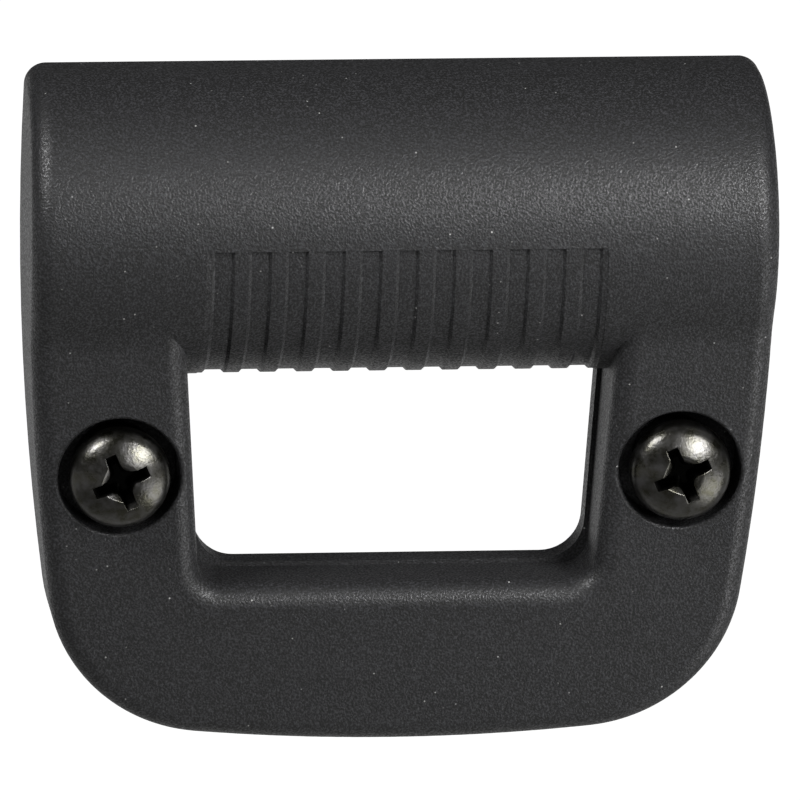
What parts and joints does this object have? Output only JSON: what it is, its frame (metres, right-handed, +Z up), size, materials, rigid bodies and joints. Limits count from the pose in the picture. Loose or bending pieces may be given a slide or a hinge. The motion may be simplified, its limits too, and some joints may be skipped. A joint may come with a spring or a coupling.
{
  "type": "basket light bracket",
  "caption": "Clamp-on bracket for a bicycle basket: half-round grooved bar of handlebar size with a strap window, drawn against a flat counter plate by screws in captive nuts.",
  "frame": {"origin": "on the clamping plane between shell and counter plate, midway between the screws", "axes": "+X along the barrel, -Y towards the front with the screw heads, +Z up"},
  "size_m": [0.061, 0.0209, 0.0559],
  "materials": {
    "moulded_nylon": "black glass-filled nylon with a fine spark-eroded grain",
    "black_steel": "black-plated steel, glossy"
  },
  "bodies": {
    "bracket": {"front_bracket": "moulded_nylon"},
    "left_screw": {"left_screw": "black_steel"},
    "right_screw": {"right_screw": "black_steel"},
    "counter_plate": {"back_plate": "moulded_nylon", "left_nut": "black_steel", "right_nut": "black_steel"}
  },
  "joints": [
    {"name": "left_screw_turn", "type": "hinge", "parent": "bracket", "child": "left_screw", "pos_m": [-0.023, 0, 0], "axis": [0, -1, 0], "range_deg": [0, 1800]},
    {"name": "right_screw_turn", "type": "hinge", "parent": "bracket", "child": "right_screw", "pos_m": [0.023, 0, 0], "axis": [0, -1, 0], "range_deg": [0, 1800]},
    {"name": "clamp_travel", "type": "slide", "parent": "bracket", "child": "counter_plate", "axis": [0, 1, 0], "range_m": [0, 0.0035]}
  ],
  "couplings": [
    {"joint": "left_screw_turn", "follows": "clamp_travel", "rad_per_m": 8976},
    {"joint": "right_screw_turn", "follows": "clamp_travel", "rad_per_m": 8976}
  ]
}
